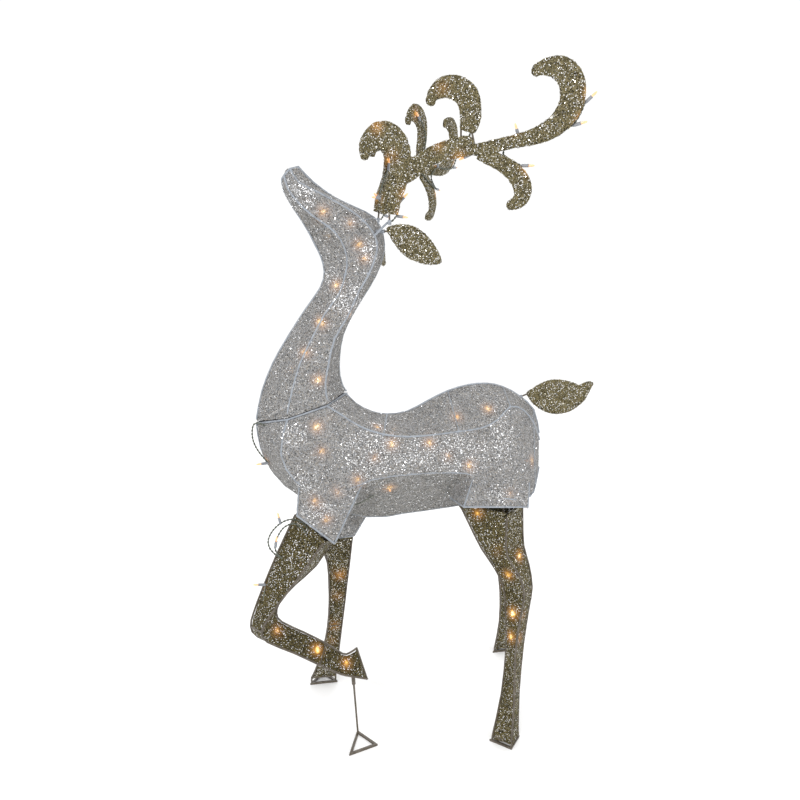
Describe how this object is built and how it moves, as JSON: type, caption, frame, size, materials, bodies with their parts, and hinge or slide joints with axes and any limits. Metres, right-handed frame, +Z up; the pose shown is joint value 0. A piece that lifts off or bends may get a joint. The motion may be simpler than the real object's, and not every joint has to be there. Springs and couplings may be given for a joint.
{
  "type": "light up yard reindeer",
  "caption": "Standing outdoor reindeer of net-covered wire frames with string lights inside, in plug-together sections, one front hoof raised on a staked rod.",
  "frame": {"origin": "middle of the assembled figure's box, on the ground under it", "axes": "+Z up, -X toward the head, -Y toward the animal's left side"},
  "size_m": [0.8479, 0.6559, 1.4956],
  "materials": {
    "white_net": "open net of fine silver white threads with glitter",
    "gold_net": "champagne gold thread wound round the wires, with glitter",
    "white_wire": "thin pale blue-white coat",
    "brown_wire": "thin dark bronze coat",
    "lead": "semi-clear soft insulation, satin",
    "bulb_holder": "clear frosted plastic",
    "bulb": "clear glass, lit warm white",
    "leg_lights": "lead, holders and lit bulbs of a leg's own string"
  },
  "bodies": {
    "body": {"body_frame": "white_wire", "body_cover": "white_net", "neck_sleeves": "white_wire", "leg_sleeves": "white_wire", "tail_sleeve": "white_wire", "body_lead": "lead", "body_bulb_holders": "bulb_holder", "body_bulbs": "bulb", "chest_lead": "lead"},
    "neck": {"neck_frame": "white_wire", "neck_cover": "white_net", "neck_pegs": "white_wire", "neck_catch": "white_wire", "antler_sleeves": "white_wire", "ear_sleeves": "white_wire", "neck_lead": "lead", "neck_bulb_holders": "bulb_holder", "neck_bulbs": "bulb"},
    "left_antler": {"left_antler_frame": "brown_wire", "left_antler_cover": "gold_net", "left_antler_lead": "lead", "left_antler_bulb_holders": "bulb_holder", "left_antler_bulbs": "bulb"},
    "right_antler": {"right_antler_frame": "brown_wire", "right_antler_cover": "gold_net", "right_antler_lead": "lead", "right_antler_bulb_holders": "bulb_holder", "right_antler_bulbs": "bulb"},
    "left_ear": {"left_ear_frame": "brown_wire", "left_ear_cover": "gold_net", "left_ear_pin": "brown_wire"},
    "right_ear": {"right_ear_frame": "brown_wire", "right_ear_cover": "gold_net", "right_ear_pin": "brown_wire"},
    "tail": {"tail_frame": "brown_wire", "tail_cover": "gold_net", "tail_pin": "brown_wire"},
    "left_hind_leg": {"left_hind_frame": "brown_wire", "left_hind_cover": "gold_net", "left_hind_pegs": "brown_wire", "left_hind_foot_ring": "brown_wire", "left_hind_lights": "leg_lights"},
    "right_hind_leg": {"right_hind_frame": "brown_wire", "right_hind_cover": "gold_net", "right_hind_pegs": "brown_wire", "right_hind_foot_ring": "brown_wire", "right_hind_lights": "leg_lights"},
    "left_front_leg": {"left_front_frame": "brown_wire", "left_front_cover": "gold_net", "left_front_pegs": "brown_wire", "left_front_rod_sleeve": "brown_wire", "left_front_lights": "leg_lights", "leg_loop_lead": "lead"},
    "right_front_leg": {"right_front_frame": "brown_wire", "right_front_cover": "gold_net", "right_front_pegs": "brown_wire", "right_front_foot_ring": "brown_wire", "right_front_lights": "leg_lights"},
    "support_rod": {"support_rod": "brown_wire"}
  },
  "joints": [
    {"name": "neck_lift", "type": "slide", "parent": "body", "child": "neck", "axis": [0, 0, 1], "range_m": [0, 0.06]},
    {"name": "left_antler_swivel", "type": "hinge", "parent": "neck", "child": "left_antler", "pos_m": [-0.09174, -0.09015, 1.21], "axis": [-0.0293, -0.0434, 0.9986], "range_deg": [-10, 10]},
    {"name": "right_antler_swivel", "type": "hinge", "parent": "neck", "child": "right_antler", "pos_m": [-0.10037, 0.01258, 1.222], "axis": [0.0973, -0.0733, 0.9925], "range_deg": [-10, 10]},
    {"name": "left_ear_pull", "type": "slide", "parent": "neck", "child": "left_ear", "axis": [0.866, -0.5, 0], "range_m": [0, 0.03]},
    {"name": "right_ear_pull", "type": "slide", "parent": "neck", "child": "right_ear", "axis": [0.2756, 0.9613, 0], "range_m": [0, 0.03]},
    {"name": "tail_pull", "type": "slide", "parent": "body", "child": "tail", "axis": [0.9397, 0, 0.342], "range_m": [0, 0.03]},
    {"name": "left_hind_leg_pull", "type": "slide", "parent": "body", "child": "left_hind_leg", "axis": [0, 0, -1], "range_m": [0, 0.06]},
    {"name": "right_hind_leg_pull", "type": "slide", "parent": "body", "child": "right_hind_leg", "axis": [0, 0, -1], "range_m": [0, 0.06]},
    {"name": "right_front_leg_pull", "type": "slide", "parent": "body", "child": "right_front_leg", "axis": [0, 0, -1], "range_m": [0, 0.06]},
    {"name": "left_front_leg_pull", "type": "slide", "parent": "body", "child": "left_front_leg", "axis": [-0.6428, 0, -0.766], "range_m": [0, 0.06]},
    {"name": "support_rod_slide", "type": "slide", "parent": "left_front_leg", "child": "support_rod", "axis": [0.0611, 0, -0.9981], "range_m": [0, 0.04]}
  ]
}
